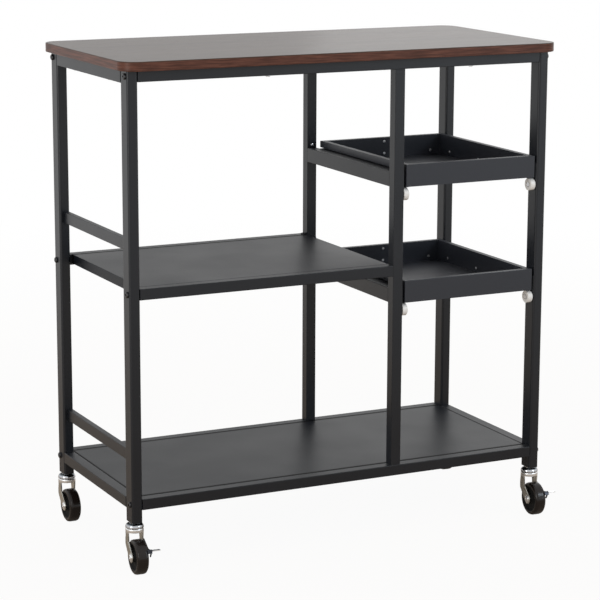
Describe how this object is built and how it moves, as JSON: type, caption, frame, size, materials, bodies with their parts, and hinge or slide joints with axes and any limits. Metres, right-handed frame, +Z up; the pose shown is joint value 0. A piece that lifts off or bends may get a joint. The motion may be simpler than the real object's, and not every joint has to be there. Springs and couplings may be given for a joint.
{
  "type": "kitchen cart",
  "caption": "Kitchen cart on swivelling casters: wooden worktop on a dark steel tube frame, an open bay with two shelves, and sliding trays on roller slides.",
  "frame": {"origin": "on the floor, under the middle of the outline of the whole cart with its casters trailing to the front", "axes": "+Z up, -Y towards the open front from which the trays are pulled, +X towards the end with the trays"},
  "size_m": [0.8332, 0.4104, 0.867],
  "materials": {
    "board": "satin dark brown board with a faint grain",
    "frame_tube": "satin black powder coat",
    "shelf_sheet": "satin black powder coat",
    "tray_sheet": "satin black powder coat",
    "slide_sheet": "satin black",
    "bolt_steel": "blackened steel",
    "plated_steel": "zinc plated",
    "plug_plastic": "black nylon",
    "caster_chrome": "bright plate",
    "fork_steel": "satin plate",
    "pedal_steel": "satin plate",
    "wheel_rubber": "brown-black rubber",
    "roller_nylon": "white nylon"
  },
  "bodies": {
    "cart": {"worktop": "board", "post_front_left": "frame_tube", "post_front_right": "frame_tube", "post_front_centre": "frame_tube", "top_rail_front": "frame_tube", "bottom_rail_front": "frame_tube", "middle_shelf_rail_front": "frame_tube", "post_rear_left": "frame_tube", "post_rear_right": "frame_tube", "post_rear_centre": "frame_tube", "top_rail_rear": "frame_tube", "bottom_rail_rear": "frame_tube", "middle_shelf_rail_rear": "frame_tube", "top_rail_left": "frame_tube", "bottom_rail_left": "frame_tube", "top_rail_right": "frame_tube", "bottom_rail_right": "frame_tube", "guard_rails": "frame_tube", "bottom_shelf_panel": "shelf_sheet", "middle_shelf_panel": "shelf_sheet", "frame_bolts": "bolt_steel", "threaded_inserts": "plated_steel", "worktop_screws": "plated_steel", "foot_plugs": "plug_plastic", "caster_stems": "caster_chrome", "swivel_caps": "caster_chrome", "swivel_balls": "plated_steel", "slide_fasteners": "plated_steel", "upper_runner_bar_left": "frame_tube", "upper_slide_channel_left": "slide_sheet", "upper_runner_bar_right": "frame_tube", "upper_slide_channel_right": "slide_sheet", "lower_runner_bar_left": "frame_tube", "lower_slide_channel_left": "slide_sheet", "lower_runner_bar_right": "frame_tube", "lower_slide_channel_right": "slide_sheet"},
    "upper_tray": {"upper_tray": "tray_sheet", "upper_tray_runners": "slide_sheet", "upper_tray_fasteners": "plated_steel"},
    "lower_tray": {"lower_tray": "tray_sheet", "lower_tray_runners": "slide_sheet", "lower_tray_fasteners": "plated_steel"},
    "upper_front_roller_left": {"upper_front_roller_left": "roller_nylon"},
    "upper_rear_roller_left": {"upper_rear_roller_left": "roller_nylon"},
    "upper_front_roller_right": {"upper_front_roller_right": "roller_nylon"},
    "upper_rear_roller_right": {"upper_rear_roller_right": "roller_nylon"},
    "lower_front_roller_left": {"lower_front_roller_left": "roller_nylon"},
    "lower_rear_roller_left": {"lower_rear_roller_left": "roller_nylon"},
    "lower_front_roller_right": {"lower_front_roller_right": "roller_nylon"},
    "lower_rear_roller_right": {"lower_rear_roller_right": "roller_nylon"},
    "caster_front_left": {"fork_front_left": "fork_steel"},
    "wheel_front_left": {"wheel_front_left": "wheel_rubber"},
    "brake_front_left": {"brake_pedal_front_left": "pedal_steel"},
    "caster_rear_left": {"fork_rear_left": "fork_steel"},
    "wheel_rear_left": {"wheel_rear_left": "wheel_rubber"},
    "caster_front_right": {"fork_front_right": "fork_steel"},
    "wheel_front_right": {"wheel_front_right": "wheel_rubber"},
    "brake_front_right": {"brake_pedal_front_right": "pedal_steel"},
    "caster_rear_right": {"fork_rear_right": "fork_steel"},
    "wheel_rear_right": {"wheel_rear_right": "wheel_rubber"}
  },
  "joints": [
    {"name": "upper_tray_slide", "type": "slide", "parent": "cart", "child": "upper_tray", "axis": [0, -1, 0], "range_m": [0, 0.255]},
    {"name": "lower_tray_slide", "type": "slide", "parent": "cart", "child": "lower_tray", "axis": [0, -1, 0], "range_m": [0, 0.255]},
    {"name": "upper_front_roller_left_turn", "type": "hinge", "parent": "cart", "child": "upper_front_roller_left", "pos_m": [0.11484, -0.15982, 0.6132], "axis": [1, 0, 0], "range_deg": [0, 1400]},
    {"name": "upper_rear_roller_left_turn", "type": "hinge", "parent": "upper_tray", "child": "upper_rear_roller_left", "pos_m": [0.11484, 0.14018, 0.6392], "axis": [1, 0, 0], "range_deg": [0, 1400]},
    {"name": "upper_front_roller_right_turn", "type": "hinge", "parent": "cart", "child": "upper_front_roller_right", "pos_m": [0.37204, -0.15982, 0.6132], "axis": [1, 0, 0], "range_deg": [0, 1400]},
    {"name": "upper_rear_roller_right_turn", "type": "hinge", "parent": "upper_tray", "child": "upper_rear_roller_right", "pos_m": [0.37204, 0.14018, 0.6392], "axis": [1, 0, 0], "range_deg": [0, 1400]},
    {"name": "lower_front_roller_left_turn", "type": "hinge", "parent": "cart", "child": "lower_front_roller_left", "pos_m": [0.11484, -0.15982, 0.4079], "axis": [1, 0, 0], "range_deg": [0, 1400]},
    {"name": "lower_rear_roller_left_turn", "type": "hinge", "parent": "lower_tray", "child": "lower_rear_roller_left", "pos_m": [0.11484, 0.14018, 0.4339], "axis": [1, 0, 0], "range_deg": [0, 1400]},
    {"name": "lower_front_roller_right_turn", "type": "hinge", "parent": "cart", "child": "lower_front_roller_right", "pos_m": [0.37204, -0.15982, 0.4079], "axis": [1, 0, 0], "range_deg": [0, 1400]},
    {"name": "lower_rear_roller_right_turn", "type": "hinge", "parent": "lower_tray", "child": "lower_rear_roller_right", "pos_m": [0.37204, 0.14018, 0.4339], "axis": [1, 0, 0], "range_deg": [0, 1400]},
    {"name": "front_left_swivel", "type": "hinge", "parent": "cart", "child": "caster_front_left", "pos_m": [-0.39506, -0.15582, 0.077], "axis": [0, 0, 1], "continuous": true},
    {"name": "front_left_wheel_turn", "type": "hinge", "parent": "caster_front_left", "child": "wheel_front_left", "pos_m": [-0.39639, -0.17477, 0.03], "axis": [0.9976, -0.0698, 0], "continuous": true},
    {"name": "front_left_brake", "type": "hinge", "parent": "caster_front_left", "child": "brake_front_left", "pos_m": [-0.38026, -0.15986, 0.05], "axis": [0.9976, -0.0698, 0], "range_deg": [-12, 0]},
    {"name": "rear_left_swivel", "type": "hinge", "parent": "cart", "child": "caster_rear_left", "pos_m": [-0.39506, 0.17218, 0.077], "axis": [0, 0, 1], "continuous": true},
    {"name": "rear_left_wheel_turn", "type": "hinge", "parent": "caster_rear_left", "child": "wheel_rear_left", "pos_m": [-0.39539, 0.15318, 0.03], "axis": [0.9998, -0.0175, 0], "continuous": true},
    {"name": "front_right_swivel", "type": "hinge", "parent": "cart", "child": "caster_front_right", "pos_m": [0.38794, -0.15582, 0.077], "axis": [0, 0, 1], "continuous": true},
    {"name": "front_right_wheel_turn", "type": "hinge", "parent": "caster_front_right", "child": "wheel_front_right", "pos_m": [0.38694, -0.17479, 0.03], "axis": [0.9986, -0.0523, 0], "continuous": true},
    {"name": "front_right_brake", "type": "hinge", "parent": "caster_front_right", "child": "brake_front_right", "pos_m": [0.40281, -0.1596, 0.05], "axis": [0.9986, -0.0523, 0], "range_deg": [-12, 0]},
    {"name": "rear_right_swivel", "type": "hinge", "parent": "cart", "child": "caster_rear_right", "pos_m": [0.38794, 0.17218, 0.077], "axis": [0, 0, 1], "continuous": true},
    {"name": "rear_right_wheel_turn", "type": "hinge", "parent": "caster_rear_right", "child": "wheel_rear_right", "pos_m": [0.38628, 0.15325, 0.03], "axis": [0.9962, -0.0872, 0], "continuous": true}
  ],
  "couplings": [
    {"joint": "upper_front_roller_left_turn", "follows": "upper_tray_slide", "rad_per_m": 90.909},
    {"joint": "upper_rear_roller_left_turn", "follows": "upper_tray_slide", "rad_per_m": 90.909},
    {"joint": "upper_front_roller_right_turn", "follows": "upper_tray_slide", "rad_per_m": 90.909},
    {"joint": "upper_rear_roller_right_turn", "follows": "upper_tray_slide", "rad_per_m": 90.909},
    {"joint": "lower_front_roller_left_turn", "follows": "lower_tray_slide", "rad_per_m": 90.909},
    {"joint": "lower_rear_roller_left_turn", "follows": "lower_tray_slide", "rad_per_m": 90.909},
    {"joint": "lower_front_roller_right_turn", "follows": "lower_tray_slide", "rad_per_m": 90.909},
    {"joint": "lower_rear_roller_right_turn", "follows": "lower_tray_slide", "rad_per_m": 90.909}
  ]
}
